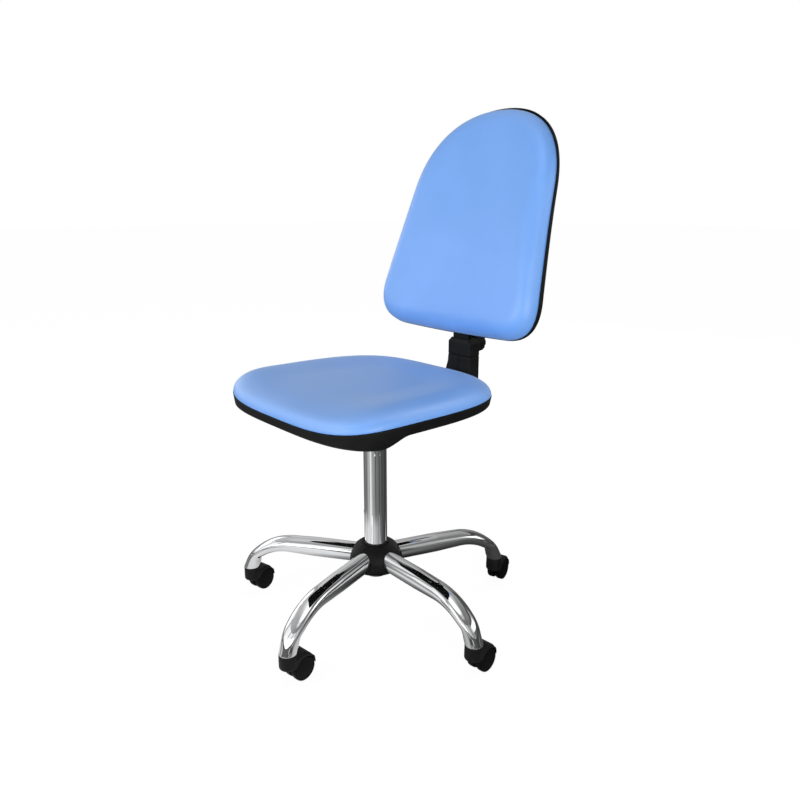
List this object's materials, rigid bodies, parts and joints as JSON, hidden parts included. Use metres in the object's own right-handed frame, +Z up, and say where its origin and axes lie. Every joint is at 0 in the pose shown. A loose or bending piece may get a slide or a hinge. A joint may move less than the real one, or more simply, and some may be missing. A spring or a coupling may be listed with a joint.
{
  "type": "doctor chair",
  "caption": "Swivel doctor chair with a blue padded seat and high tilting back, gas-lift column and a chromed star base on hooded twin-wheel casters.",
  "frame": {"origin": "on the floor under the column's axis", "axes": "+Z up along the column, -Y the way the sitter faces, +X the sitter's left"},
  "size_m": [0.6036, 0.7098, 1.0926],
  "materials": {
    "blue_upholstery": "satin",
    "chrome": "polished",
    "black_plastic": "matte",
    "wheel_nylon": "satin",
    "bright_steel": "satin",
    "black_steel": "satin",
    "white_acetal": "satin",
    "black_rubber": "matte",
    "plywood": "matte"
  },
  "bodies": {
    "base": {"hub_core": "black_steel", "hub_cover": "black_plastic", "hub_cap": "black_plastic", "leg_sockets": "bright_steel", "column_tube": "chrome", "guide_sleeve": "white_acetal", "thrust_bearing": "bright_steel", "leg_1": "chrome", "leg_2": "chrome", "leg_3": "chrome", "leg_4": "chrome", "leg_5": "chrome"},
    "lift_rod": {"piston_rod": "bright_steel", "bump_stop": "black_rubber"},
    "seat": {"gas_cylinder": "black_steel", "taper_socket": "black_steel", "mechanism_housing": "black_steel", "pivot_pins": "bright_steel", "friction_discs": "bright_steel", "seat_bolts": "bright_steel", "seat_inserts": "bright_steel", "seat_board": "plywood", "seat_pan": "black_plastic", "seat_cushion": "blue_upholstery"},
    "height_lever": {"height_lever": "black_steel", "height_lever_grip": "black_plastic"},
    "release_pin": {"release_pin": "bright_steel"},
    "tilt_lever": {"tilt_lever": "black_steel", "tilt_lever_grip": "black_plastic"},
    "back_post": {"back_bar": "black_steel", "post_cover": "black_plastic"},
    "backrest": {"clamp_block": "black_plastic", "back_strap": "black_steel", "back_shell": "black_plastic", "back_board": "plywood", "back_cushion": "blue_upholstery", "back_screws": "bright_steel"},
    "clamp_knob": {"clamp_knob": "black_plastic", "clamp_stud": "bright_steel"},
    "caster_1": {"caster_1_hood": "black_plastic", "caster_1_pins": "bright_steel"},
    "caster_1_left_wheel": {"caster_1_wheel_left": "wheel_nylon"},
    "caster_1_right_wheel": {"caster_1_wheel_right": "wheel_nylon"},
    "caster_2": {"caster_2_hood": "black_plastic", "caster_2_pins": "bright_steel"},
    "caster_2_left_wheel": {"caster_2_wheel_left": "wheel_nylon"},
    "caster_2_right_wheel": {"caster_2_wheel_right": "wheel_nylon"},
    "caster_3": {"caster_3_hood": "black_plastic", "caster_3_pins": "bright_steel"},
    "caster_3_left_wheel": {"caster_3_wheel_left": "wheel_nylon"},
    "caster_3_right_wheel": {"caster_3_wheel_right": "wheel_nylon"},
    "caster_4": {"caster_4_hood": "black_plastic", "caster_4_pins": "bright_steel"},
    "caster_4_left_wheel": {"caster_4_wheel_left": "wheel_nylon"},
    "caster_4_right_wheel": {"caster_4_wheel_right": "wheel_nylon"},
    "caster_5": {"caster_5_hood": "black_plastic", "caster_5_pins": "bright_steel"},
    "caster_5_left_wheel": {"caster_5_wheel_left": "wheel_nylon"},
    "caster_5_right_wheel": {"caster_5_wheel_right": "wheel_nylon"}
  },
  "joints": [
    {"name": "seat_swivel", "type": "hinge", "parent": "base", "child": "lift_rod", "pos_m": [0, 0, 0.1], "axis": [0, 0, 1], "continuous": true},
    {"name": "seat_lift", "type": "slide", "parent": "lift_rod", "child": "seat", "axis": [0, 0, 1], "range_m": [-0.042, 0.14]},
    {"name": "height_lever", "type": "hinge", "parent": "seat", "child": "height_lever", "pos_m": [-0.03, 0, 0.478], "axis": [0, 1, 0], "range_deg": [0, 4.6], "stiffness_Nm_per_rad": 8},
    {"name": "release_pin", "type": "slide", "parent": "seat", "child": "release_pin", "axis": [0, 0, -1], "range_m": [0, 0.0026]},
    {"name": "tilt_lever", "type": "hinge", "parent": "seat", "child": "tilt_lever", "pos_m": [-0.05, 0.095, 0.462], "axis": [1, 0, 0], "range_deg": [0, 28]},
    {"name": "back_tilt", "type": "hinge", "parent": "seat", "child": "back_post", "pos_m": [0, 0.095, 0.462], "axis": [1, 0, 0], "range_deg": [-8, 6]},
    {"name": "back_height", "type": "slide", "parent": "back_post", "child": "backrest", "axis": [0, 0, 1], "range_m": [0, 0.06]},
    {"name": "clamp_knob", "type": "hinge", "parent": "backrest", "child": "clamp_knob", "pos_m": [0, 0.3, 0.577], "axis": [0, 1, 0], "range_deg": [0, 270]},
    {"name": "caster_1_swivel", "type": "hinge", "parent": "base", "child": "caster_1", "pos_m": [0.10198, 0.28639, 0.0574], "axis": [0, 0, 1], "continuous": true},
    {"name": "caster_1_left_spin", "type": "hinge", "parent": "caster_1", "child": "caster_1_left_wheel", "pos_m": [0.09463, 0.31237, 0.025], "axis": [-0.9622, -0.2723, 0], "continuous": true},
    {"name": "caster_1_right_spin", "type": "hinge", "parent": "caster_1", "child": "caster_1_right_wheel", "pos_m": [0.09463, 0.31237, 0.025], "axis": [-0.9622, -0.2723, 0], "continuous": true},
    {"name": "caster_2_swivel", "type": "hinge", "parent": "base", "child": "caster_2", "pos_m": [-0.24086, 0.18548, 0.0574], "axis": [0, 0, 1], "continuous": true},
    {"name": "caster_2_left_spin", "type": "hinge", "parent": "caster_2", "child": "caster_2_left_wheel", "pos_m": [-0.25227, 0.20995, 0.025], "axis": [-0.9063, -0.4226, 0], "continuous": true},
    {"name": "caster_2_right_spin", "type": "hinge", "parent": "caster_2", "child": "caster_2_right_wheel", "pos_m": [-0.25227, 0.20995, 0.025], "axis": [-0.9063, -0.4226, 0], "continuous": true},
    {"name": "caster_3_swivel", "type": "hinge", "parent": "base", "child": "caster_3", "pos_m": [-0.25083, -0.17175, 0.0574], "axis": [0, 0, 1], "continuous": true},
    {"name": "caster_3_left_spin", "type": "hinge", "parent": "caster_3", "child": "caster_3_left_wheel", "pos_m": [-0.25705, -0.14547, 0.025], "axis": [-0.9732, -0.23, 0], "continuous": true},
    {"name": "caster_3_right_spin", "type": "hinge", "parent": "caster_3", "child": "caster_3_right_wheel", "pos_m": [-0.25705, -0.14547, 0.025], "axis": [-0.9732, -0.23, 0], "continuous": true},
    {"name": "caster_4_swivel", "type": "hinge", "parent": "base", "child": "caster_4", "pos_m": [0.08583, -0.29163, 0.0574], "axis": [0, 0, 1], "continuous": true},
    {"name": "caster_4_left_spin", "type": "hinge", "parent": "caster_4", "child": "caster_4_left_wheel", "pos_m": [0.08217, -0.26488, 0.025], "axis": [-0.9907, -0.1357, 0], "continuous": true},
    {"name": "caster_4_right_spin", "type": "hinge", "parent": "caster_4", "child": "caster_4_right_wheel", "pos_m": [0.08217, -0.26488, 0.025], "axis": [-0.9907, -0.1357, 0], "continuous": true},
    {"name": "caster_5_swivel", "type": "hinge", "parent": "base", "child": "caster_5", "pos_m": [0.30388, -0.00849, 0.0574], "axis": [0, 0, 1], "continuous": true},
    {"name": "caster_5_left_spin", "type": "hinge", "parent": "caster_5", "child": "caster_5_left_wheel", "pos_m": [0.3012, 0.01838, 0.025], "axis": [-0.9951, -0.0993, 0], "continuous": true},
    {"name": "caster_5_right_spin", "type": "hinge", "parent": "caster_5", "child": "caster_5_right_wheel", "pos_m": [0.3012, 0.01838, 0.025], "axis": [-0.9951, -0.0993, 0], "continuous": true}
  ],
  "couplings": [
    {"joint": "release_pin", "follows": "height_lever", "m_per_rad": 0.03}
  ]
}
